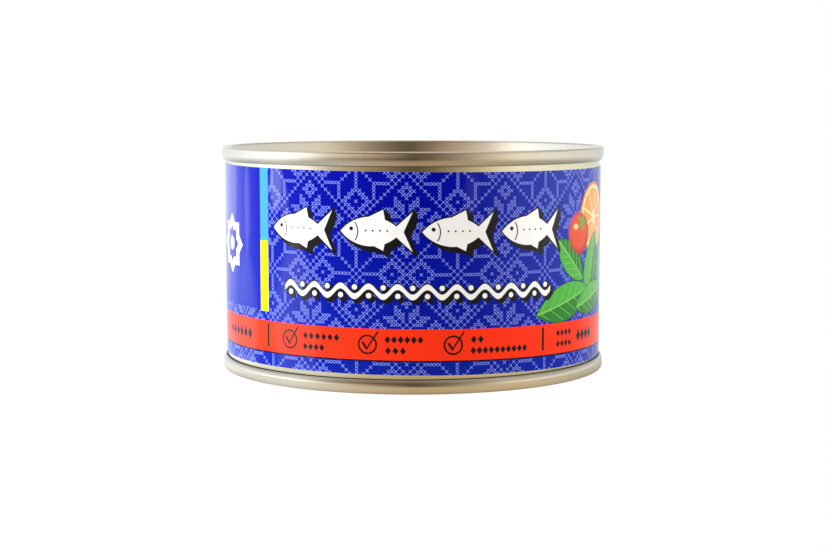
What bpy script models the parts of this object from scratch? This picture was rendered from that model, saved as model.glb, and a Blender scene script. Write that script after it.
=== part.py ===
"""A shut round fish tin: a can body, two double-seamed ends and a paper wrap.

Units are metres and +Z is up. The tin stands on the crest of its lower seam, and
the origin is on the floor, under the middle of the tin.
"""

import math

import bmesh
import bpy

# Driving dimensions
INSIDE_RADIUS = 0.0417
SEAM_RADIUS = 0.0430
HEIGHT = 0.0496
SHEET = 0.00032
CLEARANCE = 0.00015

# The can body
BODY_RADIUS = INSIDE_RADIUS + 0.00025
FILLED_INSET = 0.0048

# The double seam, with its face straight at first and then rolled in towards the can
SEAM_HEIGHT = 0.00295
SEAM_CREST = 0.0005
SEAM_ROLL_START = 0.0015
SEAM_ROLL_DEPTH = 0.0005
SEAM_LIP = 0.0001
SLOT_DEPTH = 0.0022

# The stamped end, as distances from the seam's crest towards the middle of the tin
RECESS_DEPTH = 0.0032
CHUCK_TAPER = 0.0003
GROOVE_DEPTH = 0.0042
GROOVE_RADIUS = 0.0406
GROOVE_FLAT = 0.0004
GROOVE_SLOPE = 0.0004
GROOVE_CORNER = 0.0006
BEAD_STEP = 0.0005
BEAD_SLOPE = 0.0007
BEAD_RADII = (0.0352, 0.0314, 0.0240)

# The paper wrap, a little askew on the can
LABEL_OUTER_RADIUS = 0.0423
LABEL_THICKNESS = 0.0002
LABEL_HEIGHT = 0.0417
LABEL_MIDDLE = 0.0246
LABEL_LEAN = 0.00036

SIDES = 64


def clear_scene():
    """Remove whatever the scene holds."""
    for obj in list(bpy.data.objects):
        bpy.data.objects.remove(obj, do_unlink=True)


def make_collection(name):
    """A new collection, linked to the scene."""
    collection = bpy.data.collections.new(name)
    bpy.context.scene.collection.children.link(collection)
    return collection


def make_material(name, color, roughness, metallic):
    """A Principled material with one colour."""
    material = bpy.data.materials.new(name)
    material.use_nodes = True
    shader = material.node_tree.nodes["Principled BSDF"]
    shader.inputs["Base Color"].default_value = (*color, 1.0)
    shader.inputs["Roughness"].default_value = roughness
    shader.inputs["Metallic"].default_value = metallic
    return material


def add_object(name, mesh, collection, material):
    """Link a mesh to the collection as a named object with its material."""
    obj = bpy.data.objects.new(name, mesh)
    obj.data.materials.append(material)
    collection.objects.link(obj)
    return obj


def shade_round(mesh):
    """Smooth shading, with edges sharper than 35 degrees kept crisp."""
    mesh.shade_smooth()
    mesh.set_sharp_from_angle(angle=math.radians(35))


def turned_mesh(name, profile):
    """A mesh of one open line of (radius, height) points, ready for a Screw."""
    bm = bmesh.new()
    verts = [bm.verts.new((radius, 0.0, height)) for radius, height in profile]
    for start, end in zip(verts, verts[1:]):
        bm.edges.new((start, end))
    mesh = bpy.data.meshes.new(name)
    bm.to_mesh(mesh)
    bm.free()
    return mesh


def add_turning(obj):
    """Turn the object's profile once around Z."""
    screw = obj.modifiers.new("turn", "SCREW")
    screw.axis = "Z"
    screw.angle = math.tau
    screw.steps = SIDES
    screw.render_steps = SIDES
    screw.use_merge_vertices = True
    screw.merge_threshold = 0.00001
    screw.use_smooth_shade = True


def arc(centre, radius, start, end, steps):
    """Points of a round corner, from one angle in degrees to another."""
    points = []
    for step in range(steps + 1):
        angle = math.radians(start + (end - start) * step / steps)
        points.append((centre[0] + radius * math.cos(angle), centre[1] + radius * math.sin(angle)))
    return points


def panel_line(level):
    """The beaded panel from its rim inwards, with its flat at one level."""
    points = []
    raised = 0.0
    for radius in BEAD_RADII:
        points.append((radius, level + raised))
        raised = BEAD_STEP - raised
        points.append((radius - BEAD_SLOPE, level + raised))
    points.append((0.0, level + raised))
    return points


def groove_line(sheet):
    """The countersink from the chuck wall to the panel, on either side of the sheet."""
    flat = (GROOVE_FLAT + sheet) / 2
    return [
        (GROOVE_RADIUS + flat, GROOVE_DEPTH + sheet),
        (GROOVE_RADIUS - flat, GROOVE_DEPTH + sheet),
        (GROOVE_RADIUS - flat - GROOVE_SLOPE, RECESS_DEPTH + sheet),
    ]


def rolled_face():
    """The seam's outer face above its straight part, rolled in towards the can wall."""
    rise = SEAM_HEIGHT - SEAM_LIP - SEAM_ROLL_START
    turn = 2 * math.atan(SEAM_ROLL_DEPTH / rise)
    radius = rise / math.sin(turn)
    return arc((SEAM_RADIUS - radius, SEAM_ROLL_START), radius, math.degrees(turn), 0, 4)


def end_profile():
    """A stamped end lying on its crest, from the axis over the inner side and back."""
    wall_outer = BODY_RADIUS + CLEARANCE
    wall_inner = INSIDE_RADIUS - CLEARANCE
    rim_inner = wall_inner - SHEET + CHUCK_TAPER
    corner_height = GROOVE_DEPTH - GROOVE_CORNER

    inner_side = (groove_line(SHEET) + panel_line(RECESS_DEPTH + SHEET))[::-1]
    slot = [
        (wall_inner, corner_height + SHEET),
        (wall_inner, SLOT_DEPTH),
        (wall_outer, SLOT_DEPTH),
        (wall_outer, SEAM_HEIGHT - SEAM_LIP),
        (wall_outer + SEAM_LIP, SEAM_HEIGHT),
        (SEAM_RADIUS - SEAM_ROLL_DEPTH - SEAM_LIP, SEAM_HEIGHT),
    ]
    seam_face = rolled_face()
    seam_face += arc((SEAM_RADIUS - SEAM_CREST, SEAM_CREST), SEAM_CREST, 0, -90, 4)
    chuck_wall = arc((rim_inner + SEAM_CREST, SEAM_CREST), SEAM_CREST, -90, -180, 4)
    chuck_wall += [(rim_inner - CHUCK_TAPER, corner_height)]
    outer_side = groove_line(0.0) + panel_line(RECESS_DEPTH)
    return inner_side + slot + seam_face + chuck_wall + outer_side


def build_ends(collection, material):
    """The two stamped ends, the same piece turned over for the top."""
    mesh = turned_mesh("stamped_end", end_profile())
    bottom = add_object("bottom_end", mesh, collection, material)
    top = add_object("top_end", mesh.copy(), collection, material)
    top.location.z = HEIGHT
    top.rotation_euler.x = math.pi
    for end in (bottom, top):
        add_turning(end)


def build_body(collection, material):
    """The can body with its contents, one solid whose wall runs into both seams."""
    lip = SLOT_DEPTH + CLEARANCE
    wall_inner = INSIDE_RADIUS
    lower = [
        (BODY_RADIUS, lip),
        (wall_inner, lip),
        (wall_inner, FILLED_INSET),
        (0.0, FILLED_INSET),
    ]
    upper = [(radius, HEIGHT - height) for radius, height in reversed(lower)]
    body = add_object("body", turned_mesh("body", upper + lower), collection, material)
    add_turning(body)


def build_label(collection, material):
    """The paper wrap: an open sleeve leaning a little to one side, with its thickness."""
    bm = bmesh.new()
    bmesh.ops.create_cone(
        bm,
        segments=SIDES,
        radius1=LABEL_OUTER_RADIUS,
        radius2=LABEL_OUTER_RADIUS,
        depth=LABEL_HEIGHT,
        cap_ends=False,
    )
    for vert in bm.verts:
        vert.co.z += LABEL_MIDDLE - LABEL_LEAN * vert.co.x / LABEL_OUTER_RADIUS
    mesh = bpy.data.meshes.new("label")
    bm.to_mesh(mesh)
    bm.free()
    shade_round(mesh)
    label = add_object("label", mesh, collection, material)
    paper = label.modifiers.new("paper", "SOLIDIFY")
    paper.thickness = LABEL_THICKNESS
    paper.offset = -1.0


def main():
    """Build the tin."""
    clear_scene()
    collection = make_collection("sardine_tin")
    tinplate = make_material("tinplate", (0.78, 0.72, 0.61), 0.28, 1.0)
    paper = make_material("printed_paper", (0.02, 0.05, 0.55), 0.25, 0.0)
    build_body(collection, tinplate)
    build_ends(collection, tinplate)
    build_label(collection, paper)


main()
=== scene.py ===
"""The looks of a shut round sardine tin: gold-lacquered tinplate with a printed paper wrap.

Modelling sizes are in metres, with +Z up and the front of the wrap towards -Y. Sizes on
the print are in millimetres: along the wrap from the middle of its front, and up from
the floor.
"""

from __future__ import annotations

import logging
import math
from collections.abc import Callable, Iterator
from contextlib import contextmanager
from dataclasses import dataclass
from enum import Enum
from functools import reduce
from itertools import pairwise
from operator import and_

import bmesh
import bpy
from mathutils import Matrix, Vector


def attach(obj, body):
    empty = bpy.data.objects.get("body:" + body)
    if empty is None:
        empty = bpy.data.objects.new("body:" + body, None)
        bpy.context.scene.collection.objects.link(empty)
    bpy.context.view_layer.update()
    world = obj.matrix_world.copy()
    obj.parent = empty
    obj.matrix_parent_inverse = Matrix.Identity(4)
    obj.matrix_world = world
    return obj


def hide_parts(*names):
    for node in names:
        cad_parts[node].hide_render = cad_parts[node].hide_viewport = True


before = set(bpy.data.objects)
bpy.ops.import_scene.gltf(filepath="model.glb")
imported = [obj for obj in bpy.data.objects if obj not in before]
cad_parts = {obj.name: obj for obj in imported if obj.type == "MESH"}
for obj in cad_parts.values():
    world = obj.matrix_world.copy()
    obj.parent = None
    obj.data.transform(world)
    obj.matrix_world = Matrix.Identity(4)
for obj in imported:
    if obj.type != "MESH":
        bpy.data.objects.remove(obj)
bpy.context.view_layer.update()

BODY = "root"
MM = 0.001

log = logging.getLogger("sardine_tin")

Number = "Field | float"
Point = tuple[float, float]
Corner = tuple[float, float, float]
Color = tuple[float, float, float]


def from_srgb(red: float, green: float, blue: float) -> Color:
    """Turn a display colour into the linear values that a shader takes.

    Args:
        red: The display red, from 0 to 255.
        green: The display green, from 0 to 255.
        blue: The display blue, from 0 to 255.

    Returns:
        The three linear values, from 0 to 1.
    """
    linear = []
    for value in (red, green, blue):
        share = value / 255
        linear.append(share / 12.92 if share <= 0.04045 else ((share + 0.055) / 1.055) ** 2.4)
    return (linear[0], linear[1], linear[2])


# Shader maths


def operators(operation: str) -> tuple[Callable, Callable]:
    """Make an operator and its reflected form, each of which adds one Math node.

    Args:
        operation: The Math node's operation.

    Returns:
        The method for a field on the left, and the one for a field on the right.
    """

    def plain(self: Field, other: Number) -> Field:
        """Return the operation on self and other."""
        return self.shader.math(operation, self, other)

    def reflected(self: Field, other: Number) -> Field:
        """Return the operation on other and self."""
        return self.shader.math(operation, other, self)

    return plain, reflected


class Field:
    """One value inside a shader, on which Python's operators work."""

    __add__, __radd__ = operators("ADD")
    __sub__, __rsub__ = operators("SUBTRACT")
    __mul__, __rmul__ = operators("MULTIPLY")
    __truediv__, __rtruediv__ = operators("DIVIDE")
    __pow__, __rpow__ = operators("POWER")
    # A modulo is never negative, and a comparison is 1 where it holds and 0 elsewhere
    __mod__, __rmod__ = operators("FLOORED_MODULO")
    __lt__, __gt__ = operators("LESS_THAN")
    # The smaller value: where both masks are, or two shapes together
    __and__, __rand__ = operators("MINIMUM")
    # The larger value: where either mask is, or what two shapes share
    __or__, __ror__ = operators("MAXIMUM")

    def __init__(self, shader: Shader, socket: bpy.types.NodeSocket) -> None:
        """Wrap an output socket of the shader."""
        self.shader = shader
        self.socket = socket

    def __abs__(self) -> Field:
        """Return the size of self."""
        return self.shader.math("ABSOLUTE", self)

    def __neg__(self) -> Field:
        """Return -self."""
        return self * -1.0

    def clamped(self) -> Field:
        """Return self held from 0 to 1."""
        return self.shader.field("ShaderNodeClamp", {}, {0: self})

    def rounded(self) -> Field:
        """Return the nearest whole number."""
        return self.shader.math("ROUND", self)

    def near(self, value: float, reach: float = 0.5) -> Field:
        """Return 1 where self is within reach of value, and 0 elsewhere."""
        return abs(self - value) < reach

    def rising(self, start: float, end: float) -> Field:
        """Return 0 up to the start, 1 past the end, and the share between them. The end may be lower."""
        return ((self - start) * (1 / (end - start))).clamped()

    def fading(self, reach: float) -> Field:
        """Return 1 where self is 0, fading away over this reach."""
        return self.shader.math("EXPONENT", self * (-1 / reach))


class Shader:
    """A node tree that is built by expressions."""

    def __init__(self, tree: bpy.types.NodeTree) -> None:
        """Take over a node tree and empty it."""
        self.tree = tree
        tree.nodes.clear()

    def node(self, kind: str, settings: dict | None = None, inputs: dict | None = None) -> bpy.types.Node:
        """Add a node, set it up and fill its sockets.

        Args:
            kind: The node's type.
            settings: The node's own settings, with a ramp's stops as "stops".
            inputs: A value or a Field for each socket, by name or number.

        Returns:
            The new node.
        """
        made = self.tree.nodes.new(kind)
        for name, value in (settings or {}).items():
            if name == "stops":
                self._set_stops(made.color_ramp, value)
            else:
                setattr(made, name, value)
        for key, value in (inputs or {}).items():
            if isinstance(value, Field):
                self.tree.links.new(value.socket, made.inputs[key])
            elif made.inputs[key].type == "RGBA":
                made.inputs[key].default_value = (*value, 1.0)
            else:
                made.inputs[key].default_value = value
        return made

    @staticmethod
    def _set_stops(ramp: bpy.types.ColorRamp, stops: list[tuple[float, Color]]) -> None:
        """Give a ramp its stops.

        Args:
            ramp: The ramp.
            stops: Each stop's place from 0 to 1 and its colour, in order of place.
        """
        while len(ramp.elements) < len(stops):
            ramp.elements.new(1.0)
        for element, (place, color) in zip(ramp.elements, stops):
            element.position = place
            element.color = (*color, 1.0)

    def field(
        self, kind: str, settings: dict | None = None, inputs: dict | None = None, output: int | str = 0
    ) -> Field:
        """Add a node as node() does and return one of its outputs."""
        return Field(self, self.node(kind, settings, inputs).outputs[output])

    def math(self, operation: str, *values: Number) -> Field:
        """Add a Math node on one to three values."""
        return self.field("ShaderNodeMath", {"operation": operation}, dict(enumerate(values)))

    def mix(self, mask: Number, below: Field | Color, above: Field | Color) -> Field:
        """Lay one colour over another.

        Args:
            mask: 1 where the upper colour shows.
            below: The lower colour.
            above: The upper colour.

        Returns:
            The mixed colour.
        """
        return self.field("ShaderNodeMix", {"data_type": "RGBA"}, {0: mask, 6: below, 7: above}, 2)

    def axes(self, vector: Field) -> tuple[Field, Field, Field]:
        """Return the three parts of a vector."""
        node = self.node("ShaderNodeSeparateXYZ", {}, {0: vector})
        return (Field(self, node.outputs[0]), Field(self, node.outputs[1]), Field(self, node.outputs[2]))

    def place(self) -> Field:
        """Return the place on the piece, in metres."""
        return self.field("ShaderNodeTexCoord", output="Object")

    def noise(self, place: Field, scale: float, detail: float = 2.0) -> Field:
        """Return soft noise around 0.5 at a place."""
        return self.field("ShaderNodeTexNoise", {}, {"Vector": place, "Scale": scale, "Detail": detail})

    def stretched(self, place: Field, scale: tuple[float, float, float]) -> Field:
        """Return a place with each axis scaled, for grain that runs one way."""
        return self.field("ShaderNodeMapping", {}, {"Vector": place, "Scale": scale})

    def bump(self, height: Field, depth: float, strength: float = 1.0) -> Field:
        """Return the normals of a surface with a relief this many metres deep."""
        inputs = {"Strength": strength, "Distance": depth, "Height": height}
        return self.field("ShaderNodeBump", {}, inputs, "Normal")

    def close(self, inputs: dict) -> None:
        """End a material with a Principled surface that has these inputs."""
        surface = self.field("ShaderNodeBsdfPrincipled", {}, inputs)
        self.node("ShaderNodeOutputMaterial", {}, {"Surface": surface})


def new_material(name: str) -> tuple[bpy.types.Material, Shader]:
    """Make a material.

    Args:
        name: The material's name.

    Returns:
        The material, and the shader that builds its nodes.
    """
    material = bpy.data.materials.new(name)
    material.use_nodes = True
    return material, Shader(material.node_tree)


# Drawing on the print, with distances that are negative inside a shape


@dataclass(frozen=True)
class Spot:
    """A place on the print, in millimetres."""

    x: Field
    y: Field

    def moved(self, x: float, y: float) -> Spot:
        """Return the place as seen from a new middle."""
        return Spot(self.x - x, self.y - y)

    def turned(self, degrees: float) -> Spot:
        """Return the place as seen by a shape that is turned anticlockwise."""
        cosine, sine = math.cos(math.radians(degrees)), math.sin(math.radians(degrees))
        return Spot(self.x * cosine + self.y * sine, self.y * cosine - self.x * sine)

    def from_middle(self) -> Field:
        """Return how far the place is from the middle."""
        return (self.x * self.x + self.y * self.y) ** 0.5


def disc(spot: Spot, radius: float) -> Field:
    """A round spot."""
    return spot.from_middle() - radius


def span(value: Field, low: float, high: float) -> Field:
    """The range between two values."""
    return abs(value - (low + high) / 2) - (high - low) / 2


def rhomb(spot: Spot, half_width: float, half_height: float) -> Field:
    """A rhomb that stands on its corner."""
    slope = 1 / math.hypot(1 / half_width, 1 / half_height)
    return (abs(spot.x) * (1 / half_width) + abs(spot.y) * (1 / half_height) - 1) * slope


def lens(spot: Spot, length: float, width: float) -> Field:
    """A pointed oval that lies along X."""
    radius = (length * length + width * width) / (4 * width)
    return disc(Spot(spot.x, abs(spot.y) + (radius - width / 2)), radius)


def stroke(spot: Spot, start: Point, end: Point, half_width: float) -> Field:
    """A round-ended line between two points.

    Args:
        spot: The place.
        start: One end of the line.
        end: The other end.
        half_width: Half the line's width.

    Returns:
        The distance to the line's outline.
    """
    along = (end[0] - start[0], end[1] - start[1])
    square = along[0] ** 2 + along[1] ** 2
    near = spot.moved(*start)
    share = (near.x * (along[0] / square) + near.y * (along[1] / square)).clamped()
    return disc(Spot(near.x - share * along[0], near.y - share * along[1]), half_width)


def star(spot: Spot, half_side: float) -> Field:
    """An eight-pointed star of two squares, one of them turned onto its corner."""
    across, up = abs(spot.x), abs(spot.y)
    return ((across | up) & ((across + up) * math.sqrt(0.5))) - half_side


def union(shapes: list[Field]) -> Field:
    """All of some shapes together."""
    return reduce(and_, shapes)


def filled(distance: Field, softness: float = 0.06) -> Field:
    """Return the mask of a shape, with an edge that is this many millimetres soft."""
    return (0.5 - distance * (1 / softness)).clamped()


@dataclass(frozen=True)
class Chain:
    """A level chain of whole rhombs over one or more ranges of the wrap, in millimetres."""

    height: float
    half_width: float
    half_height: float
    pitch: float
    ranges: tuple[Point, ...]


class Ink(Enum):
    """The inks of the wrap, as linear colours."""

    GROUND = (0.0004, 0.0028, 0.31)
    # The paler ground: towards the foot, and at the right as a painted sheen
    GROUND_PALE = (0.002, 0.016, 0.325)
    STITCH = (0.27, 0.34, 0.94)
    WHITE = (0.87, 0.87, 0.87)
    BLACK = (0.010, 0.009, 0.010)
    RED = (0.93, 0.034, 0.008)
    NAVY = (0.003, 0.003, 0.016)
    CYAN = (0.042, 0.275, 0.62)
    YELLOW = from_srgb(250, 228, 0)
    LEAF_EDGE = from_srgb(20, 66, 28)
    LEAF_DARK = from_srgb(44, 122, 46)
    LEAF = from_srgb(74, 166, 62)
    LEAF_LIGHT = from_srgb(124, 196, 92)
    TOMATO = from_srgb(214, 78, 42)
    TOMATO_DARK = from_srgb(168, 50, 34)
    RIND = from_srgb(232, 112, 40)
    PULP = from_srgb(240, 150, 66)
    PITH = from_srgb(250, 218, 160)


class Artwork:
    """The print of the wrap, painted layer by layer from the ground up."""

    # The ground is paler towards the foot, and around a place at the right it is paler as a painted sheen
    PALER_HEIGHTS = (38.0, -7.0)
    PAINTED_SHEEN_PLACE = 38.0
    PAINTED_SHEEN_REACH = 30.0
    # Counted cross-stitch ornament
    STITCH_WIDTH = 0.7475
    STITCH_HEIGHT = 0.7425
    ARM_HALF_WIDTH = 0.095
    ARM_REACH = 0.45
    ARM_EDGE = 1 / 18
    ORNAMENT_MIDDLE = (-1.292, 24.575)
    REPEAT = (28, 30)
    # Plain panel and striped edge at the left
    PANEL = (-98.0, -36.75)
    PANEL_FOOT = 15.5
    STRIPE = (-36.75, -34.1)
    STRIPE_CHANGE = 30.6
    STRIPE_FOOT = 15.25
    STRIPE_LINE = 0.4
    STAR = (-51.0, 28.6)
    STAR_HALF_SIDE = 4.6
    STAR_INNER_HALF_SIDE = 2.9
    STAR_DOT_RADIUS = 1.5
    # Rows of motifs
    FISH_ROW = (1.0, 33.3)
    FISH_PITCH = 17.0
    FISH_COUNT = 4
    FISH_SHADOW = (1.15, -1.05)
    FISH_EDGE = 0.3
    WAVE_ROW = (1.45, 20.95)
    WAVE_PITCH = 6.05
    WAVE_COUNT = 10
    WAVE_RISE = 1.05
    WAVE_HALF_WIDTH = 0.46
    # How much shorter a slanting distance to the wave is than an upright one, on the whole
    WAVE_SLANT = 0.78
    WAVE_DOT_HEIGHT = -0.85
    WAVE_DOT_RADIUS = 0.55
    WAVE_SHADOW = (0.7, -0.65)
    WAVE_EDGE = 0.25
    # Band near the foot
    BAND = (6.8, 13.3)
    BAND_LINE = 0.3
    TICKS = (-27.72, -9.43, 8.31)
    TICK_HEIGHT = 10.0
    TICK_POINTS = ((-0.95, 0.3), (-0.15, -0.85), (2.15, 2.6))
    TICK_HALF_WIDTHS = (0.26, 0.18)
    RING_RADIUS = 1.85
    RING_HALF_WIDTH = 0.2
    DIVIDERS = (-34.2, 29.65)
    DIVIDER_SPAN = (7.8, 12.7)
    DIVIDER_HALF = 0.3
    CHAINS = (
        Chain(11.1, 0.62, 0.8, 1.38, ((-24.3, -15.4), (-5.9, 2.2), (11.9, 15.0), (33.7, 39.2))),
        Chain(8.8, 0.62, 0.8, 1.38, ((-24.3, -18.9), (-5.9, -1.3), (11.9, 25.3), (33.7, 39.2))),
        Chain(9.9, 0.95, 1.45, 2.05, ((-52.4, -40.2), (41.3, 49.0))),
        Chain(10.05, 1.5, 1.5, 3.4, ((-140.0, -74.0), (74.0, 150.0))),
    )

    def __init__(self, shader: Shader, spot: Spot) -> None:
        """Start with the plain ground.

        Args:
            shader: The shader that the print is built in.
            spot: The place on the print.
        """
        self.shader = shader
        self.spot = spot
        # The mask of the paler ground, which at the right is a painted sheen
        thin = spot.y.rising(*self.PALER_HEIGHTS) | abs(spot.x - self.PAINTED_SHEEN_PLACE).rising(self.PAINTED_SHEEN_REACH, 0.0)
        self.ground = shader.mix(thin, Ink.GROUND.value, Ink.GROUND_PALE.value)
        self.color = self.ground

    def lay(self, mask: Field, ink: Ink) -> None:
        """Print one more ink where the mask is 1."""
        color = self.ground if ink is Ink.GROUND else ink.value
        self.color = self.shader.mix(mask, self.color, color)

    def paint(self) -> Field:
        """Paint the whole print.

        Returns:
            The colour of the print.
        """
        self.ornament()
        self.panel()
        self.garnish()
        self.waves()
        self.fishes()
        self.band()
        return self.color

    def ornament(self) -> None:
        """Counted crosses on the ground: rhombs, flowers, tulips and the lines between them.

        The pattern is mirrored over u and v, the whole numbers of stitches from a repeat's middle.
        """
        column = (self.spot.x - self.ORNAMENT_MIDDLE[0]) * (1 / self.STITCH_WIDTH)
        row = (self.spot.y - self.ORNAMENT_MIDDLE[1]) * (1 / self.STITCH_HEIGHT)
        whole_column, whole_row = column.rounded(), row.rounded()
        across = abs(column - whole_column)
        up = abs(row - whole_row)
        half_u, half_v = self.REPEAT[0] / 2, self.REPEAT[1] / 2
        u = abs((whole_column + half_u) % self.REPEAT[0] - half_u)
        v = abs((whole_row + half_v) % self.REPEAT[1] - half_v)

        flowers = (u + abs(v - 7)).near(1.5, 1) | (abs(u - 8) + abs(v - 15)).near(1.5, 1)
        upper_rhomb = abs(u - 14) + abs(v - 10)
        side_rhomb = abs(u - 4) + v
        rhombs = upper_rhomb.near(0) | upper_rhomb.near(3.5, 1)
        rhombs = rhombs | side_rhomb.near(0) | side_rhomb.near(3.5, 1)
        slants = ((v - u).near(2) & (u < 13.5)) | ((u + v).near(14) & (v < 5.5))
        level = (v.near(0) & u.near(9.5, 3)) | (v.near(5) & u.near(7, 2.5))
        upright = (u.near(9) & v.near(7, 2.5)) | (u.near(14) & v.near(4.5, 3))
        petals = (u.near(2, 1.5) & (u + v).near(13, 1.5)) | (v.near(13, 1.5) & (u + v).near(17, 1.5))
        stem = (v - u).near(14) & (u < 1.5)
        stitched = flowers | rhombs | slants | level | upright | petals | stem

        arms = filled(abs(across - up) - self.ARM_HALF_WIDTH, self.ARM_EDGE)
        ends = filled((across | up) - self.ARM_REACH, self.ARM_EDGE)
        self.lay(arms & ends & stitched, Ink.STITCH)

    def panel(self) -> None:
        """The plain panel with its star, and the striped edge beside it."""
        x, y = self.spot.x, self.spot.y
        self.lay(filled(span(x, *self.PANEL)) & (y > self.PANEL_FOOT), Ink.GROUND)
        place = self.spot.moved(*self.STAR)
        self.lay(filled(star(place, self.STAR_HALF_SIDE)), Ink.WHITE)
        self.lay(filled(star(place, self.STAR_INNER_HALF_SIDE)), Ink.GROUND)
        self.lay(filled(disc(place, self.STAR_DOT_RADIUS)), Ink.WHITE)
        stripe = filled(span(x, *self.STRIPE)) & (y > self.STRIPE_FOOT)
        self.lay(stripe, Ink.YELLOW)
        self.lay(stripe & (y > self.STRIPE_CHANGE - self.STRIPE_LINE), Ink.LEAF)
        self.lay(stripe & (y > self.STRIPE_CHANGE), Ink.CYAN)

    @staticmethod
    def fish(spot: Spot) -> Field:
        """One fish that swims to the left, 15 mm long.

        Args:
            spot: The place as seen from the fish's middle.

        Returns:
            The distance to the fish's outline.
        """
        x, y = spot.x, spot.y
        side = abs(y)
        body = lens(spot.moved(-1.2, 0), 12.8, 6.0)
        tail = ((side - (x - 2.9) * 0.9) * 0.743) | ((x - 5.6 - side * 0.45) * 0.912)
        back_fin = ((y - x * 0.5 - 3.8) * 0.894) | (x + y * 0.2 - 2.3) | (1.2 - y)
        belly_fin = ((-y - x * 0.5 - 3.2) * 0.894) | (x - y * 0.2 - 2.2) | (y + 1.2)
        return body & tail & back_fin & belly_fin

    def fishes(self) -> None:
        """The large row of white fish with a black edge and shadow."""
        row = self.spot.moved(*self.FISH_ROW)
        reach = self.FISH_PITCH * self.FISH_COUNT / 2
        within = filled(span(row.x, -reach, reach))
        # An even count puts the middle between two fish
        spot = Spot((row.x % self.FISH_PITCH) - self.FISH_PITCH / 2, row.y)
        shape = self.fish(spot)
        dark = shape
        for share in (0.33, 0.67, 1.0):
            dark = dark & self.fish(spot.moved(self.FISH_SHADOW[0] * share, self.FISH_SHADOW[1] * share))
        self.lay(filled(dark - self.FISH_EDGE) & within, Ink.BLACK)
        self.lay(filled(shape) & within, Ink.WHITE)

        eye = disc(spot.moved(-5.3, 0.55), 0.42)
        gill = (abs(disc(spot.moved(-7.0, 0.0), 3.1)) - 0.13) | (-(spot.x + 5.6)) | (abs(spot.y) - 1.85)
        scales = disc(Spot((spot.x % 1.5) - 0.75, spot.y - 0.2), 0.2) | span(spot.x, -3.0, 3.1)
        self.lay(filled(eye & gill & scales) & within, Ink.BLACK)

    def wave(self, spot: Spot) -> Field:
        """A running wave with a dot in each of its hollows.

        Args:
            spot: The place as seen from the wave's middle.

        Returns:
            The distance to the outline of the wave and its dots.
        """
        sine = self.shader.math("SINE", spot.x * (math.tau / self.WAVE_PITCH))
        line = abs(spot.y - sine * self.WAVE_RISE) * self.WAVE_SLANT - self.WAVE_HALF_WIDTH
        side = self.shader.math("SIGN", sine)
        half = self.WAVE_PITCH / 2
        hollow = Spot((spot.x % half) - half / 2, spot.y * side - self.WAVE_DOT_HEIGHT)
        dot = disc(hollow, self.WAVE_DOT_RADIUS)
        return line & dot

    def waves(self) -> None:
        """The smaller white row with a black edge and shadow."""
        row = self.spot.moved(*self.WAVE_ROW)
        reach = self.WAVE_PITCH * self.WAVE_COUNT / 2
        shape = self.wave(row) | span(row.x, -reach, reach)
        dark = shape
        for share in (0.5, 1.0):
            moved = row.moved(self.WAVE_SHADOW[0] * share, self.WAVE_SHADOW[1] * share)
            dark = dark & (self.wave(moved) | span(moved.x, -reach, reach))
        self.lay(filled(dark - self.WAVE_EDGE), Ink.BLACK)
        self.lay(filled(shape), Ink.WHITE)

    def chain(self, chain: Chain) -> Field:
        """Draw a chain, with its pitch fitted to each range so that no rhomb is cut.

        Args:
            chain: The chain.

        Returns:
            The distance to the chain's outline.
        """
        parts = []
        for low, high in chain.ranges:
            cell = (high - low) / round((high - low) / chain.pitch)
            place = Spot((self.spot.x - low) % cell - cell / 2, self.spot.y - chain.height)
            whole = rhomb(place, chain.half_width, chain.half_height)
            parts.append(whole | span(self.spot.x, low, high))
        return union(parts)

    def ticked_ring(self, along: float) -> Field:
        """A ring with a tick that runs out of it.

        Args:
            along: Its place along the band.

        Returns:
            The distance to its outline.
        """
        spot = self.spot.moved(along, self.TICK_HEIGHT)
        parts = [abs(disc(spot, self.RING_RADIUS)) - self.RING_HALF_WIDTH]
        for (start, end), half_width in zip(pairwise(self.TICK_POINTS), self.TICK_HALF_WIDTHS):
            parts.append(stroke(spot, start, end, half_width))
        return union(parts)

    def band(self) -> None:
        """The red band with ticked rings, dividers and chains of rhombs."""
        x, y = self.spot.x, self.spot.y
        low, high = self.BAND
        self.lay(filled(span(y, low - self.BAND_LINE, high)), Ink.NAVY)
        self.lay(filled(span(y, low, high)), Ink.RED)

        marks = [self.ticked_ring(along) for along in self.TICKS]
        for along in self.DIVIDERS:
            marks.append((abs(x - along) - self.DIVIDER_HALF) | span(y, *self.DIVIDER_SPAN))
        marks += [self.chain(chain) for chain in self.CHAINS]
        self.lay(filled(union(marks)), Ink.BLACK)

    def leaf(self, centre: Point, length: float, width: float, degrees: float) -> None:
        """A leaf with two tones, a pale midrib and side veins.

        Args:
            centre: The leaf's middle.
            length: Its length.
            width: Its width.
            degrees: How far it is turned anticlockwise from lying level.
        """
        spot = self.spot.moved(*centre).turned(degrees)
        shape = lens(spot, length, width)
        self.lay(filled(shape), Ink.LEAF_EDGE)
        self.lay(filled(shape + 0.16), Ink.LEAF_DARK)
        self.lay(filled(shape + 0.16) & (spot.y > 0), Ink.LEAF)
        veins = abs((spot.x - abs(spot.y) * 1.1 + 50.0) % (length / 7) - length / 14) - 0.09
        rib = abs(spot.y) - 0.16
        self.lay(filled((veins & rib) | (shape + 0.5)), Ink.LEAF_LIGHT)

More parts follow.
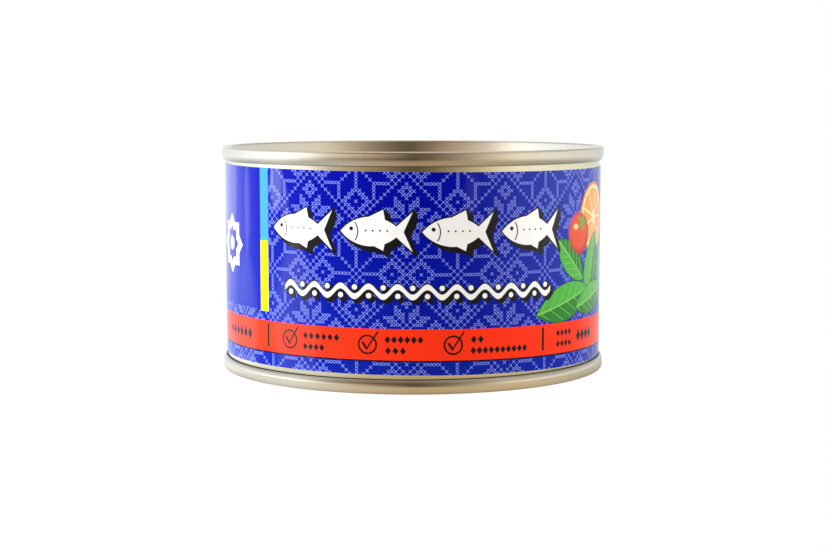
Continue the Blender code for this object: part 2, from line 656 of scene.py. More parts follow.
    def tomato(self, centre: Point, radius: float) -> None:
        """A round tomato with a darker underside, a highlight and its green calyx.

        Args:
            centre: The tomato's middle.
            radius: Its radius.
        """
        spot = self.spot.moved(*centre)
        shape = disc(spot, radius)
        self.lay(filled(shape), Ink.TOMATO_DARK)
        lit = disc(spot.moved(-radius * 0.1, radius * 0.12), radius * 0.9)
        self.lay(filled(lit, radius * 0.3), Ink.TOMATO)
        shine = disc(Spot((spot.x + radius * 0.4) * 0.7, spot.y - radius * 0.35), radius * 0.13)
        self.lay(filled(shine, radius * 0.12), Ink.PITH)
        top = spot.moved(radius * 0.25, radius * 0.55)
        angle = self.shader.math("ARCTAN2", top.y, top.x)
        calyx = top.from_middle() - (self.shader.math("COSINE", angle * 5.0) * 0.17 + 0.27) * radius
        self.lay(filled(calyx), Ink.LEAF)

    def citrus(self, centre: Point, radius: float) -> None:
        """A round slice of citrus fruit: rind, pith and nine segments.

        Args:
            centre: The slice's middle.
            radius: Its radius.
        """
        spot = self.spot.moved(*centre)
        distance = spot.from_middle()
        self.lay(filled(distance - radius), Ink.RIND)
        self.lay(filled(distance - radius * 0.92), Ink.PITH)
        angle = self.shader.math("ARCTAN2", spot.y, spot.x)
        spoke = abs(self.shader.math("SINE", angle * 4.5)) * distance * (1 / 4.5)
        pulp = filled(distance - radius * 0.83) & filled(radius * 0.1 - distance) & filled(0.22 - spoke)
        self.lay(pulp, Ink.PULP)

    def garnish(self) -> None:
        """Leaves, a tomato and a slice of citrus at the right of the front."""
        self.leaf((60.5, 34.5), 20.0, 8.0, 62.0)
        self.citrus((50.4, 35.0), 7.6)
        self.leaf((39.2, 26.4), 14.0, 6.6, 138.0)
        self.tomato((42.6, 31.8), 4.4)
        self.leaf((58.5, 21.5), 19.0, 8.0, 100.0)
        self.leaf((49.0, 24.0), 17.0, 8.0, 70.0)
        self.leaf((37.2, 17.6), 20.0, 8.0, 14.0)
        self.leaf((49.0, 17.6), 17.0, 6.6, 12.0)


# Finishes


@dataclass(frozen=True)
class Tinplate:
    """Tinplate under a thin gold lacquer.

    The sheet's rolling grain runs along one axis, and the lacquer is a little uneven. Where the
    wall runs into a seam, painted shade darkens the colour along the crevice: the wall has it at
    some heights, each with its reach, and the ends have it at one radius, between two heights.
    """

    name: str
    color: Color
    grain: tuple[float, float, float]
    cloud_scale: float = 160.0
    mottle: float = 0.07
    shade: float = 0.1
    roughness: float = 0.15
    grain_roughness: float = 0.12
    cloud_roughness: float = 0.08
    relief: float = 0.0000015
    # Painted shade: the colour that darkens the crevices where the wall meets a seam
    painted_shade_color: Color = (0.015, 0.011, 0.008)
    crevice_heights: tuple[Point, ...] = ()
    crevice_radius: float | None = None
    crevice_reach: float = 0.0002
    crevice_between: Point = (0.0022, 0.0474)

    @staticmethod
    def painted_shade(distance: Field, reach: float) -> Field:
        """Return a mask of painted shade that is 1 on a line and fades away from it."""
        return (abs(distance).fading(reach) * 1.4).clamped()

    def make(self) -> bpy.types.Material:
        """Build the material.

        Returns:
            The material of the lacquered sheet.
        """
        material, shader = new_material(self.name)
        place = shader.place()
        streaks = shader.noise(shader.stretched(place, self.grain), 1.0, 3.0)
        cloud = shader.noise(place, self.cloud_scale)
        tone = (cloud - 0.5) * self.mottle + (streaks - 0.5) * self.mottle
        pale = tuple(min(1.0, channel * (1 + self.shade)) for channel in self.color)
        deep = tuple(channel * (1 - self.shade) for channel in self.color)
        color = shader.mix((tone * 4 + 0.5).clamped(), deep, pale)
        x, y, z = shader.axes(place)
        # Painted shade along the crevices, at the wall's heights and at the ends' radius
        for height, reach in self.crevice_heights:
            color = shader.mix(self.painted_shade(z - height, reach), color, self.painted_shade_color)
        if self.crevice_radius:
            beside = Spot(x, y).from_middle() - self.crevice_radius
            low, high = self.crevice_between
            within = z.near((low + high) / 2, (high - low) / 2)
            color = shader.mix(self.painted_shade(beside, self.crevice_reach) * within, color, self.painted_shade_color)
        uneven = (streaks - 0.5) * self.grain_roughness + (cloud - 0.5) * self.cloud_roughness
        roughness = uneven + self.roughness
        normal = shader.bump(streaks + cloud * 2, self.relief, 0.5)
        shader.close({"Base Color": color, "Metallic": 1.0, "Roughness": roughness, "Normal": normal})
        return material


@dataclass(frozen=True)
class Gloss:
    """An upright streak or patch where the varnish is glossier, in millimetres on the print."""

    middle: Point
    length: float
    width: float
    strength: float
    softness: float = 1.2


@dataclass(frozen=True)
class PrintedPaper:
    """Glossy label paper with its print.

    The varnish shows most where the paper turns away, in streaks, and as a broad sheen at the
    right that grows towards the head.
    """

    name: str = "printed_paper"
    uv_map: str = "print"
    roughness: float = 0.16
    ior: float = 1.2
    # The paper's fine fibre and its gentle ripple under the varnish
    fibre_scale: float = 2600.0
    fibre_roughness: float = 0.1
    fibre_relief: float = 0.015
    ripple_scale: float = 170.0
    relief: float = 0.00011
    varnish: float = 0.4
    varnish_ior: float = 2.0
    varnish_roughness: float = 0.12
    # How far the paper turns away where the varnish begins and is full, from 0 to 1
    turning: Point = (0.45, 0.7)
    sheen: float = 0.35
    sheen_middle: float = 36.0
    sheen_reach: float = 26.0
    sheen_heights: Point = (-2.0, 43.0)
    # How far the streaks' sides wander, and how finely
    wobble: float = 2.0
    wobble_scale: float = 420.0
    glosses: tuple[Gloss, ...] = (
        Gloss((-53.5, 42.0), 34.0, 12.6, 0.8),
        Gloss((-42.1, 36.0), 26.0, 2.5, 0.6),
        Gloss((-42.5, 13.0), 36.0, 8.0, 0.4, 3.0),
        Gloss((-31.6, 42.5), 12.0, 4.2, 0.9),
        Gloss((-28.8, 37.0), 9.0, 1.8, 0.5),
        Gloss((-26.5, 12.0), 40.0, 12.0, 0.45, 3.0),
        Gloss((12.2, 41.0), 10.0, 3.0, 0.3),
        Gloss((-70.0, 24.0), 26.0, 1.8, 0.5),
        Gloss((-101.0, 33.0), 18.0, 2.2, 0.5),
        Gloss((-117.0, 17.0), 16.0, 1.4, 0.5),
        Gloss((66.0, 36.0), 18.0, 2.0, 0.5),
        Gloss((88.0, 20.0), 22.0, 1.6, 0.5),
        Gloss((113.0, 37.0), 14.0, 2.2, 0.5),
    )

    def varnished(self, shader: Shader, place: Field, x: Field, y: Field) -> Field:
        """Work out where the varnish shows.

        Args:
            shader: The paper's shader.
            place: The place on the piece, in metres.
            x: The place along the print.
            y: The height on the print.

        Returns:
            The strength of the varnish, from 0 to 1.
        """
        facing = shader.field("ShaderNodeLayerWeight", {}, {"Blend": 0.5}, "Facing")
        varnish = facing.rising(*self.turning) * self.varnish
        broad = abs(x - self.sheen_middle).rising(self.sheen_reach, 0.0) * y.rising(*self.sheen_heights)
        varnish = varnish | broad * self.sheen
        drawn_out = shader.stretched(place, (1.0, 1.0, 0.3))
        wander = (shader.noise(drawn_out, self.wobble_scale, 1.0) - 0.5) * self.wobble
        for gloss in self.glosses:
            # A lens lies along X, and a streak stands upright
            upright = Spot(y - gloss.middle[1], x + wander - gloss.middle[0])
            streak = lens(upright, gloss.length, gloss.width)
            varnish = varnish | filled(streak, gloss.softness) * gloss.strength
        return varnish.clamped()

    def make(self) -> bpy.types.Material:
        """Build the material.

        Returns:
            The material of the wrap's printed side.
        """
        material, shader = new_material(self.name)
        x, y, _ = shader.axes(shader.field("ShaderNodeUVMap", {"uv_map": self.uv_map}))
        color = Artwork(shader, Spot(x, y)).paint()
        place = shader.place()
        fibre = shader.noise(place, self.fibre_scale, 3.0)
        ripple = shader.noise(shader.stretched(place, (1.0, 1.0, 0.16)), self.ripple_scale, 1.0)
        shader.close(
            {
                "Base Color": color,
                "Roughness": (fibre - 0.5) * self.fibre_roughness + self.roughness,
                "IOR": self.ior,
                "Coat Weight": self.varnished(shader, place, x, y),
                "Coat Roughness": self.varnish_roughness,
                "Coat IOR": self.varnish_ior,
                "Normal": shader.bump(ripple + fibre * self.fibre_relief, self.relief),
            }
        )
        return material


@dataclass(frozen=True)
class BarePaper:
    """The unprinted side and the cut edges of the label paper."""

    name: str = "bare_paper"
    dark: Color = (0.62, 0.61, 0.58)
    pale: Color = (0.82, 0.81, 0.78)
    fibre_scale: float = 2200.0
    roughness: float = 0.75
    relief: float = 0.00002

    def make(self) -> bpy.types.Material:
        """Build the material.

        Returns:
            The material of bare white paper.
        """
        material, shader = new_material(self.name)
        fibre = shader.noise(shader.place(), self.fibre_scale, 3.0)
        color = shader.mix(fibre, self.dark, self.pale)
        normal = shader.bump(fibre, self.relief, 0.3)
        shader.close({"Base Color": color, "Roughness": self.roughness, "Normal": normal})
        return material


# Modelling


class Workpiece:
    """A mesh piece and the steps that shape it."""

    def __init__(self, piece: bpy.types.Object, name: str) -> None:
        """Take up an object as the piece, and name it."""
        self.object = piece
        self.object.name = name

    @classmethod
    def start(cls, name: str, primitive: Callable, **settings: object) -> Workpiece:
        """Start a new piece from a primitive.

        Args:
            name: The piece's name.
            primitive: The operator that adds the primitive.
            settings: The operator's settings.

        Returns:
            The new piece, with its place in its mesh.
        """
        bpy.ops.object.select_all(action="DESELECT")
        primitive(**settings)
        piece = cls(bpy.context.object, name)
        piece.apply_place()
        return piece

    def copied(self, name: str) -> Workpiece:
        """Copy the piece.

        Args:
            name: The copy's name.

        Returns:
            The copy, with a mesh of its own.
        """
        self.select()
        bpy.ops.object.duplicate(linked=False)
        return Workpiece(bpy.context.object, name)

    def select(self) -> None:
        """Select the piece alone and make it the active one."""
        bpy.ops.object.select_all(action="DESELECT")
        self.object.select_set(True)
        bpy.context.view_layer.objects.active = self.object

    def apply_place(self) -> None:
        """Put the piece's place into its mesh."""
        self.select()
        bpy.ops.object.transform_apply(location=True, rotation=True, scale=True)

    @contextmanager
    def editing(self) -> Iterator[None]:
        """Work on the mesh in edit mode.

        Yields:
            Nothing, while the piece is in edit mode.
        """
        self.select()
        bpy.ops.object.mode_set(mode="EDIT")
        bpy.ops.mesh.select_mode(type="VERT")
        yield
        bpy.ops.object.mode_set(mode="OBJECT")

    def pick(self, kind: str, test: Callable[..., bool]) -> None:
        """Select vertices, edges or faces by their place, and nothing else.

        Args:
            kind: VERT, EDGE or FACE.
            test: Says whether an element is picked.
        """
        bpy.ops.mesh.select_mode(type=kind)
        bpy.ops.mesh.select_all(action="DESELECT")
        mesh = bmesh.from_edit_mesh(self.object.data)
        elements = {"VERT": mesh.verts, "EDGE": mesh.edges, "FACE": mesh.faces}[kind]
        for element in elements:
            if test(element):
                element.select_set(True)
        mesh.select_flush_mode()
        bmesh.update_edit_mesh(self.object.data)

    def modify(self, kind: str, **settings: object) -> None:
        """Add a modifier and apply it.

        Args:
            kind: The modifier's type.
            settings: The modifier's settings.
        """
        modifier = self.object.modifiers.new(kind.lower(), kind)
        for name, value in settings.items():
            setattr(modifier, name, value)
        self.select()
        bpy.ops.object.modifier_apply(modifier=modifier.name)

    def close_up(self) -> None:
        """Merge doubled points and turn every face outwards."""
        with self.editing():
            bpy.ops.mesh.select_all(action="SELECT")
            bpy.ops.mesh.remove_doubles(threshold=1e-6)
            bpy.ops.mesh.normals_make_consistent(inside=False)

    def smooth(self, degrees: float) -> None:
        """Shade smoothly, with sharper edges than this kept crisp."""
        self.select()
        bpy.ops.object.shade_smooth_by_angle(angle=math.radians(degrees))

    def fit(self, *nodes: str, slot: str) -> None:
        """Put the piece on the tin in place of its plain solids.

        Args:
            nodes: The solids that the piece stands for.
            slot: The record's material slot of the piece; not used.
        """
        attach(self.object, BODY)
        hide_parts(*nodes)
        triangles = sum(len(face.vertices) - 2 for face in self.object.data.polygons)
        log.info("%s: %d triangles", self.object.name, triangles)


def fillet(corners: list[Corner], steps: int = 5) -> list[Point]:
    """Round the corners of an open line.

    Args:
        corners: Each corner's two coordinates and its radius, with 0 for a sharp one.
        steps: How many pieces each round corner has.

    Returns:
        The points of the rounded line.
    """
    points: list[Point] = []
    for index, (x, y, radius) in enumerate(corners):
        if radius == 0 or index in (0, len(corners) - 1):
            points.append((x, y))
            continue
        before, after = corners[index - 1], corners[index + 1]
        into = (before[0] - x, before[1] - y)
        out = (after[0] - x, after[1] - y)
        into_length, out_length = math.hypot(*into), math.hypot(*out)
        into = (into[0] / into_length, into[1] / into_length)
        out = (out[0] / out_length, out[1] / out_length)
        half = math.acos(max(-1.0, min(1.0, into[0] * out[0] + into[1] * out[1]))) / 2
        reach = min(radius / math.tan(half), 0.49 * into_length, 0.49 * out_length)
        start = (x + into[0] * reach, y + into[1] * reach)
        end = (x + out[0] * reach, y + out[1] * reach)
        for step in range(steps + 1):
            share = step / steps
            first, middle, last = (1 - share) ** 2, 2 * share * (1 - share), share**2
            across = start[0] * first + x * middle + end[0] * last
            points.append((across, start[1] * first + y * middle + end[1] * last))
    return points


@dataclass
class StampedEnds:
    """The two stamped ends with their double seams; heights run from a seam's crest inwards."""

    tin_height: float = 0.0496
    sheet: float = 0.00032
    sides: int = 288
    # The double seam, with its face rolled in towards the wall and a round lip around it
    seam_radius: float = 0.0430
    seam_height: float = 0.00295
    roll_start: float = 0.0015
    roll_depth: float = 0.0005
    roll_steps: int = 6
    crest_round: float = 0.0005
    face_taper: float = 0.00004
    lip: float = 0.0003
    lip_flat: float = 0.00005
    # The slot that takes the wall
    wall_radius: float = 0.0421
    wall_gap: float = 0.00004
    slot_depth: float = 0.0022
    # The chuck wall, which stops short of the countersink's depth on the shown and hidden side
    chuck_radius: float = 0.04123
    chuck_taper: float = 0.0003
    chuck_stop: float = 0.0006
    chuck_round: float = 0.0003
    hidden_stop: float = 0.0003
    hidden_round: float = 0.0002
    # The countersink
    groove_depth: float = 0.0042
    groove_radius: float = 0.0406
    groove_flat: float = 0.0004
    groove_slope: float = 0.0004
    groove_round: float = 0.00025
    rim_round: float = 0.0004
    # The beaded panel
    recess: float = 0.0032
    bead_step: float = 0.0005
    bead_slope: float = 0.0007
    bead_round: float = 0.0009
    beads: tuple[float, ...] = (0.0352, 0.0314, 0.0240)

    def panel(self, level: float) -> list[Corner]:
        """Draw the beaded panel.

        Args:
            level: The height of its rim.

        Returns:
            Its corners, from its rim to the axis.
        """
        corners = []
        raised = 0.0
        for radius in self.beads:
            corners.append((radius, level + raised, self.bead_round))
            raised = self.bead_step - raised
            corners.append((radius - self.bead_slope, level + raised, self.bead_round))
        corners.append((0.0, level + raised, 0.0))
        return corners

    def groove(self, extra: float) -> list[Corner]:
        """Draw the countersink on one side of the sheet.

        Args:
            extra: 0 for the side that shows, and the sheet's thickness for the hidden one.

        Returns:
            Its corners, inwards from the chuck wall.
        """
        outer = self.groove_radius + (self.groove_flat + extra) / 2
        inner = self.groove_radius - (self.groove_flat + extra) / 2
        return [
            (outer, self.groove_depth + extra, self.groove_round),
            (inner, self.groove_depth + extra, self.groove_round),
            (inner - self.groove_slope, self.recess + extra, self.rim_round),
        ]

    def seam_face(self, lip_radius: float) -> list[Point]:
        """Draw the seam's round lip and its face, down to where the face is straight.

        Args:
            lip_radius: The radius at which the lip starts.

        Returns:
            The points of both.
        """
        points = []
        for step in range(1, self.roll_steps + 1):
            turn = math.radians(90 * step / self.roll_steps)
            radius = lip_radius + self.lip * (1 - math.cos(turn))
            points.append((radius, self.seam_height - self.lip * (1 - math.sin(turn))))
        rise = self.seam_height - self.lip_flat - self.roll_start
        for step in range(self.roll_steps + 1):
            share = 1 - step / self.roll_steps
            points.append((self.seam_radius - self.roll_depth * share**2, self.roll_start + rise * share))
        return points

    def profile(self) -> list[Point]:
        """Draw the section of an end, from the axis over the hidden side and back.

        Returns:
            Points of radius and height above the crest.
        """
        lip_radius = self.wall_radius + self.wall_gap
        hidden = (self.groove(self.sheet) + self.panel(self.recess + self.sheet))[::-1]
        slot = [
            (self.chuck_radius + self.sheet, self.groove_depth - self.hidden_stop, self.hidden_round),
            (self.chuck_radius + self.sheet, self.slot_depth, 0.0),
            (lip_radius, self.slot_depth, 0.0),
            (lip_radius, self.seam_height - self.lip, 0.0),
        ]
        face = self.seam_face(lip_radius)
        crest = [
            (self.seam_radius - self.face_taper, 0.0, self.crest_round),
            (self.chuck_radius + self.chuck_taper, 0.0, self.crest_round),
            (self.chuck_radius, self.groove_depth - self.chuck_stop, self.chuck_round),
        ]
        shown = self.groove(0.0) + self.panel(self.recess)
        return fillet(hidden + slot) + face + fillet([(*face[-1], 0.0), *crest, *shown])[1:]

    def build(self, finish: Tinplate) -> None:
        """Turn the bottom end, and copy it for the top.

        Args:
            finish: The finish of both ends.
        """
        points = self.profile()
        place = (points[0][0], 0.0, points[0][1])
        bottom = Workpiece.start("lower_end", bpy.ops.mesh.primitive_plane_add, size=0.001, location=place)
        with bottom.editing():
            bpy.ops.mesh.select_all(action="SELECT")
            bpy.ops.mesh.merge(type="CENTER")
            for start, end in pairwise(points):
                move = (end[0] - start[0], 0.0, end[1] - start[1])
                bpy.ops.mesh.extrude_region_move(TRANSFORM_OT_translate={"value": move})
            bpy.ops.mesh.select_all(action="SELECT")
            bpy.ops.mesh.spin(steps=self.sides, angle=math.tau, center=(0, 0, 0), axis=(0, 0, 1))
        bottom.close_up()
        bottom.object.data.materials.append(finish.make())

        top = bottom.copied("upper_end")
        top.object.rotation_euler.x = math.pi
        top.object.location.z = self.tin_height
        top.apply_place()

        bottom.smooth(40)
        top.smooth(40)
        bottom.fit("bottom_end", slot="end_tinplate")
        top.fit("top_end", slot="end_tinplate")


@dataclass
class CanWall:
    """The can's wall with its welded side seam at the back."""

    radius: float = 0.0421
    thickness: float = 0.00025
    foot: float = 0.0024
    head: float = 0.0472
    sides: int = 288
    # The weld ridge, with its place and width in degrees
    weld_azimuth: float = 171.0
    weld_width: float = 1.4
    weld_slope: float = 0.0002
    weld_rise: float = 0.00004

    def build(self, finish: Tinplate) -> None:
        """Build the wall.

        Args:
            finish: The finish of the wall.
        """
        wall = Workpiece.start(
            "can_wall",
            bpy.ops.mesh.primitive_cylinder_add,
            vertices=self.sides,
            radius=self.radius,
            depth=self.head - self.foot,
            end_fill_type="NOTHING",
            location=(0.0, 0.0, (self.head + self.foot) / 2),
        )
        with wall.editing():
            low = self.weld_azimuth - self.weld_width / 2
            high = self.weld_azimuth + self.weld_width / 2
            wall.pick("FACE", lambda face: low < azimuth_of(face.calc_center_median()) < high)
            bpy.ops.mesh.inset(thickness=self.weld_slope, depth=self.weld_rise, use_boundary=False)
        wall.close_up()
        wall.modify("SOLIDIFY", thickness=self.thickness, offset=-1.0, use_even_offset=True)
        wall.smooth(30)
        wall.object.data.materials.append(finish.make())
        wall.fit("body", slot="body_tinplate")


def azimuth_of(point: Vector) -> float:
    """Return a point's direction around the tin, in degrees from the front towards +X."""
    return math.degrees(math.atan2(point[0], -point[1]))


@dataclass
class PaperWrap:
    """The paper label, wrapped round the can with a glued lap at the back."""

    radius: float = 0.04228
    thickness: float = 0.0001
    foot: float = 0.00375
    head: float = 0.04554
    columns: int = 360
    rows: int = 14
    # The lap, as a number of columns, and how far it lies over the wrap's start
    lap: int = 11
    lap_rise: float = 0.00011
    # How the paper leans, bows at its edges and waves
    lean: float = 0.00034
    foot_bow: float = 0.00018
    head_bow: float = -0.00002
    puff: float = 0.00001
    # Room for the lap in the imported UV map, in millimetres
    lap_allowance: float = 10.0

    def build(self, print_side: PrintedPaper, bare_side: BarePaper) -> None:
        """Build the wrap.

        Args:
            print_side: The finish of its outer side.
            bare_side: The finish of its inner side and edges.
        """
        wrap = Workpiece.start(
            "paper_wrap",
            bpy.ops.mesh.primitive_cylinder_add,
            vertices=self.columns,
            radius=self.radius,
            depth=self.head - self.foot,
            end_fill_type="NOTHING",
            location=(0.0, 0.0, (self.head + self.foot) / 2),
        )
        step = 360 / self.columns
        end = 180 - step
        with wrap.editing():
            wrap.pick("EDGE", lambda edge: abs(edge.verts[0].co.z - edge.verts[1].co.z) > 0.01)
            bpy.ops.mesh.subdivide(number_cuts=self.rows - 1)
            wrap.pick("FACE", lambda face: azimuth_of(face.calc_center_median()) > end)
            bpy.ops.mesh.delete(type="FACE")
            reach = step / 4
            wrap.pick("EDGE", lambda edge: all(abs(azimuth_of(vert.co) - end) < reach for vert in edge.verts))
            middle = (0.0, 0.0, 0.0)
            spread = 1 + self.lap_rise / self.radius
            for count in range(self.lap + 1):
                bpy.ops.mesh.extrude_region_move()
                bpy.ops.transform.rotate(value=-math.radians(step), orient_axis="Z", center_override=middle)
                if count == 0:
                    bpy.ops.transform.resize(value=(spread, spread, 1.0), center_override=middle)
        wrap.close_up()
        self._unroll(wrap.object.data, "print")
        self._settle(wrap.object.data)
        wrap.object.data.materials.append(print_side.make())
        wrap.object.data.materials.append(bare_side.make())
        wrap.modify(
            "SOLIDIFY",
            thickness=self.thickness,
            offset=-1.0,
            use_even_offset=True,
            material_offset=1,
            material_offset_rim=1,
        )
        wrap.smooth(30)
        self._lay_out(wrap.object.data)
        wrap.fit("label", slot="printed_paper")

    def _unroll(self, mesh: bpy.types.Mesh, name: str) -> None:
        """Write the place on the print, in millimetres, to a UV map.

        Args:
            mesh: The wrap before it has its thickness.
            name: The UV map's name.
        """
        uv = mesh.uv_layers[0] if mesh.uv_layers else mesh.uv_layers.new()
        uv.name = name
        outer = self.radius + self.lap_rise / 2
        for face in mesh.polygons:
            middle = azimuth_of(face.center)
            on_lap = math.hypot(face.center.x, face.center.y) > outer - 0.00001 and abs(middle) > 170
            for loop in face.loop_indices:
                co = mesh.vertices[mesh.loops[loop].vertex_index].co
                angle = azimuth_of(co)
                if on_lap and angle < 90:
                    angle += 360
                elif not on_lap and middle < 0 < angle:
                    angle -= 360
                uv.uv[loop].vector = (math.radians(angle) * self.radius / MM, co.z / MM)

    def _settle(self, mesh: bpy.types.Mesh) -> None:
        """Let the wrap lean and bow a little, as one put on by a machine does.

        Args:
            mesh: The wrap before it has its thickness.
        """
        for vert in mesh.vertices:
            angle = math.radians(azimuth_of(vert.co))
            share = (vert.co.z - self.foot) / (self.head - self.foot)
            bow = self.foot_bow + (self.head_bow - self.foot_bow) * share
            vert.co.z += bow * math.cos(2 * angle) - self.lean * math.sin(angle)
            wave = math.sin(7 * angle + 1.3) + math.sin(11 * angle)
            puff = self.puff * wave * math.cos(vert.co.z * 90)
            vert.co.x *= 1 + puff / self.radius
            vert.co.y *= 1 + puff / self.radius

    def _lay_out(self, mesh: bpy.types.Mesh) -> None:
        """Write a second UV map that fills a square: the print in rows, and the bare side above them.

        Args:
            mesh: The finished wrap.
        """
        unrolled = mesh.uv_layers["print"]
        packed = mesh.uv_layers.new(name="OFBake", do_init=False)
        rows, printed_share, bare_height = 3, 0.93, 0.06
        edge, row_edge, bare_edge = 0.002, 0.004, 0.005
        girth = math.tau * self.radius / MM
        row_length = (girth + self.lap_allowance) / rows
        low, tall = self.foot / MM, (self.head - self.foot) / MM
        for face in mesh.polygons:
            places = [unrolled.uv[loop].vector for loop in face.loop_indices]
            middle = sum(place[0] for place in places) / len(places)
            row = min(rows - 1, int((middle + girth / 2) / row_length))
            for loop, place in zip(face.loop_indices, places):
                along = place[0] + girth / 2
                up = (place[1] - low) / tall
                if face.material_index == 0:
                    u = along / row_length - row
                    v = (row + row_edge + (1 - 2 * row_edge) * up) * printed_share / rows
                else:
                    u = along / (rows * row_length)
                    v = printed_share + bare_edge + bare_height * up
                packed.uv[loop].vector = (edge + (1 - 2 * edge) * u, v)


# The studio


@dataclass(frozen=True)
class SoftLight:
    """A large square soft box that faces the tin."""

    name: str
    azimuth: float
    elevation: float
    power: float
    color: Color = (1.0, 1.0, 1.0)
    distance: float = 0.6
    side: float = 0.45
    aim_height: float = 0.025

    def build(self) -> None:
        """Hang the light."""
        data = bpy.data.lights.new(self.name, "AREA")
        data.shape = "SQUARE"
        data.size = self.side
        data.energy = self.power
        data.color = self.color
        light = bpy.data.objects.new(self.name, data)
        bpy.context.scene.collection.objects.link(light)
        turn, rise = math.radians(self.azimuth), math.radians(self.elevation)
        light.location = (
            self.distance * math.sin(turn) * math.cos(rise),
            -self.distance * math.cos(turn) * math.cos(rise),
            self.aim_height + self.distance * math.sin(rise),
        )
        light.rotation_euler = (math.radians(90) - rise, 0.0, turn)
        # The tinplate mirrors the surround alone
        light.visible_glossy = False
        log.info("%s: %.1f W", self.name, self.power)


@dataclass
class Studio:
    """A white table and surround with a dark gap behind the camera, soft boxes and the camera."""

    camera_distance: float = 0.3888
    camera_height: float = 0.0615
    camera_pitch: float = 6.075
    lens: float = 74.7
    lights: tuple[SoftLight, ...] = (
        SoftLight("left_box", -78.0, 28.0, 8.1),
        SoftLight("right_box", 72.0, 28.0, 3.3),
        SoftLight("front_box", 15.0, 48.0, 0.8, (0.6, 0.82, 1.0)),
    )
    white: Color = (1.0, 1.0, 1.0)
    # How much the surround darkens above the horizon, and what the ceiling adds overhead
    dimming: float = 0.42
    dim: Color = (0.14, 0.10, 0.05)
    ceiling_share: float = 0.7
    ceiling: Color = (0.55, 0.46, 0.43)
    # The table and the tin's radius on it, and how far from the tin the table has its close colours
    floor_radius: float = 0.8
    floor_drop: float = 0.00005
    foot_radius: float = 0.043
    close_reach: float = 0.11
    # Painted shade on the table at either side, which starts a little way from the tin and fades again
    gap: Color = (0.12, 0.11, 0.09)
    gap_sides: Point = (0.1538, 0.9231)
    gap_strength: float = 0.9
    gap_start: float = 0.045
    gap_reach: float = 0.09
    # The tin's own shadow where it stands
    shadow: Color = (0.0, 0.0, 0.0)
    shadow_strength: float = 0.35
    shadow_reach: float = 0.002
    # The surround's colour by its direction from the front, in degrees towards +X
    surround: tuple[tuple[float, Color], ...] = (
        (-180, (0.88, 0.93, 1.00)),
        (-150, (0.92, 0.99, 1.09)),
        (-126, (1.02, 1.12, 1.25)),
        (-105, (1.18, 1.30, 1.46)),
        (-84, (1.32, 1.45, 1.62)),
        (-72, (1.20, 1.28, 1.38)),
        (-63, (0.95, 0.97, 0.98)),
        (-53, (0.58, 0.56, 0.52)),
        (-43, (0.40, 0.36, 0.31)),
        (-32, (0.30, 0.25, 0.195)),
        (-21, (0.22, 0.17, 0.122)),
        (-11, (0.145, 0.108, 0.076)),
        (0, (0.07, 0.05, 0.036)),
        (11, (0.165, 0.127, 0.092)),
        (21, (0.28, 0.235, 0.185)),
        (32, (0.44, 0.38, 0.30)),
        (43, (0.62, 0.55, 0.45)),
        (53, (0.80, 0.74, 0.63)),
        (63, (0.92, 0.89, 0.81)),
        (84, (0.92, 0.93, 0.91)),
        (105, (0.83, 0.86, 0.87)),
        (126, (0.80, 0.83, 0.84)),
        (150, (0.72, 0.76, 0.80)),
        (180, (0.88, 0.93, 1.00)),
    )

    # What a low window adds to it near the horizon
    window: tuple[tuple[float, Color], ...] = (
        (-180, (0.0, 0.0, 0.0)),
        (-90, (0.0, 0.0, 0.0)),
        (-63, (0.34, 0.32, 0.30)),
        (-43, (0.40, 0.35, 0.30)),
        (-21, (0.26, 0.21, 0.16)),
        (0, (0.05, 0.04, 0.03)),
        (15, (0.0, 0.0, 0.0)),
        (180, (0.0, 0.0, 0.0)),
    )

    # Heights of a direction, from 0 to 1, over which the window shows, the dimming grows and the
    # ceiling begins
    window_foot: Point = (-0.02, 0.005)
    window_head: Point = (0.38, 0.2133)
    dimming_heights: Point = (0.06, 0.3933)
    ceiling_heights: Point = (0.6, 0.85)

    # The table's painted light and shade beside the tin, in the same way
    close: tuple[tuple[float, Color], ...] = (
        (-180, (0.80, 0.84, 0.90)),
        (-150, (0.72, 0.76, 0.82)),
        (-105, (0.92, 0.99, 1.06)),
        (-80, (1.12, 1.15, 1.16)),
        (-60, (0.87, 0.90, 0.93)),
        (-40, (0.90, 0.93, 0.95)),
        (-20, (0.72, 0.63, 0.50)),
        (0, (0.58, 0.46, 0.30)),
        (20, (0.62, 0.50, 0.33)),
        (40, (0.68, 0.58, 0.41)),
        (60, (0.56, 0.54, 0.42)),
        (90, (0.62, 0.62, 0.56)),
        (180, (0.80, 0.84, 0.90)),
    )

    @staticmethod
    def around(shader: Shader, x: Field, y: Field, colors: tuple[tuple[float, Color], ...]) -> Field:
        """Return the colour in a level direction.

        Args:
            shader: The shader that asks.
            x: The direction's X part.
            y: The direction's Y part.
            colors: The colours by direction.

        Returns:
            The colour, with 1 for white.
        """
        turn = shader.math("ARCTAN2", x, -y) * (1 / math.tau) + 0.5
        stops = [(degrees / 360 + 0.5, color) for degrees, color in colors]
        return shader.field("ShaderNodeValToRGB", {"stops": stops}, {0: turn})

    def white_to_camera(self, shader: Shader, reflected: Field) -> Field:
        """Return white where the camera looks straight at it, and another colour in reflections."""
        to_camera = shader.field("ShaderNodeLightPath", output="Is Camera Ray")
        return shader.mix(to_camera, reflected, self.white)

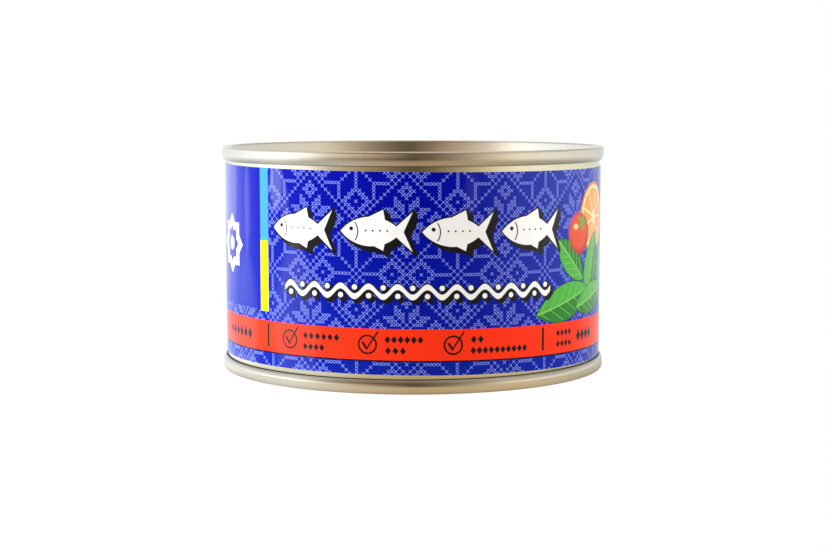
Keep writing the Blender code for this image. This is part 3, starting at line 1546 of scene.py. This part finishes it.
    def build_world(self) -> None:
        """Make the surround: white to the camera, and darker at the front to what the tin reflects."""
        world = bpy.data.worlds.new("surround")
        bpy.context.scene.world = world
        world.use_nodes = True
        shader = Shader(world.node_tree)
        x, y, z = shader.axes(shader.field("ShaderNodeTexCoord", output="Generated"))
        level = self.around(shader, x, y, self.surround)
        window_light = self.around(shader, x, y, self.window)
        before_window = z.rising(*self.window_foot) & z.rising(*self.window_head)
        adding = {"data_type": "RGBA", "blend_type": "ADD"}
        level = shader.field("ShaderNodeMix", adding, {0: before_window, 6: level, 7: window_light}, 2)
        dimmed = shader.mix(z.rising(*self.dimming_heights) * self.dimming, level, self.dim)
        overhead = shader.mix(self.ceiling_share, level, self.ceiling)
        seen = shader.mix(z.rising(*self.ceiling_heights), dimmed, overhead)
        color = self.white_to_camera(shader, seen)
        background = shader.field("ShaderNodeBackground", {}, {"Color": color, "Strength": 1.0})
        shader.node("ShaderNodeOutputWorld", {}, {"Surface": background})

    def build_floor(self) -> None:
        """Make the table: white to the camera, and dimmer in front and under the tin in reflections."""
        floor = Workpiece.start(
            "table",
            bpy.ops.mesh.primitive_circle_add,
            vertices=96,
            radius=self.floor_radius,
            fill_type="NGON",
            location=(0.0, 0.0, -self.floor_drop),
        )
        material, shader = new_material("table_white")
        x, y, _ = shader.axes(shader.place())
        distance = Spot(x, y).from_middle()
        away = (distance - self.foot_radius) | 0.0
        lit = self.around(shader, x, y, self.surround)
        lit = shader.mix(away.fading(self.close_reach), lit, self.around(shader, x, y, self.close))
        aside = (abs(x) / distance).rising(*self.gap_sides)
        past_start = 1 - ((away * (1 / self.gap_start)) ** 2.0).fading(1.0)
        gap = away.fading(self.gap_reach) * past_start * aside * self.gap_strength
        lit = shader.mix(gap, lit, self.gap)
        lit = shader.mix(away.fading(self.shadow_reach) * self.shadow_strength, lit, self.shadow)
        color = self.white_to_camera(shader, lit)
        top = shader.field("ShaderNodeEmission", {}, {"Color": color, "Strength": 1.0})
        # From below the table isn't there, so that the tin's foot can be seen
        below = shader.field("ShaderNodeNewGeometry", output="Backfacing")
        nothing = shader.field("ShaderNodeBsdfTransparent")
        surface = shader.field("ShaderNodeMixShader", {}, {0: below, 1: top, 2: nothing})
        shader.node("ShaderNodeOutputMaterial", {}, {"Surface": surface})
        floor.object.data.materials.append(material)

    def build_camera(self) -> None:
        """Set up the camera where the photograph was taken from."""
        data = bpy.data.cameras.new("camera")
        data.lens = self.lens
        data.sensor_width = 36.0
        data.clip_start = 0.01
        camera = bpy.data.objects.new("camera", data)
        bpy.context.scene.collection.objects.link(camera)
        camera.location = (0.0, -self.camera_distance, self.camera_height)
        camera.rotation_euler = (math.radians(90 - self.camera_pitch), 0.0, 0.0)
        bpy.context.scene.camera = camera

    def build(self) -> None:
        """Build the whole studio."""
        bpy.context.scene.view_settings.view_transform = "Standard"
        self.build_world()
        self.build_floor()
        for light in self.lights:
            light.build()
        self.build_camera()


def main() -> None:
    """Build the tin's pieces in order, then the studio."""
    logging.basicConfig(level=logging.INFO, format="%(message)s")
    wall_finish = Tinplate(
        "wall_tinplate",
        (0.97, 0.86, 0.62),
        grain=(40.0, 40.0, 3000.0),
        # Painted shade in the crevices under the seams
        crevice_heights=((0.00295, 0.00014), (0.04665, 0.00008)),
    )
    end_finish = Tinplate(
        "end_tinplate",
        (0.86, 0.78, 0.64),
        grain=(3000.0, 60.0, 200.0),
        # Painted shade in the crevice beside the wall
        crevice_radius=0.0423,
    )
    CanWall().build(wall_finish)
    StampedEnds().build(end_finish)
    PaperWrap().build(PrintedPaper(), BarePaper())
    Studio().build()


if __name__ == "__main__":
    main()
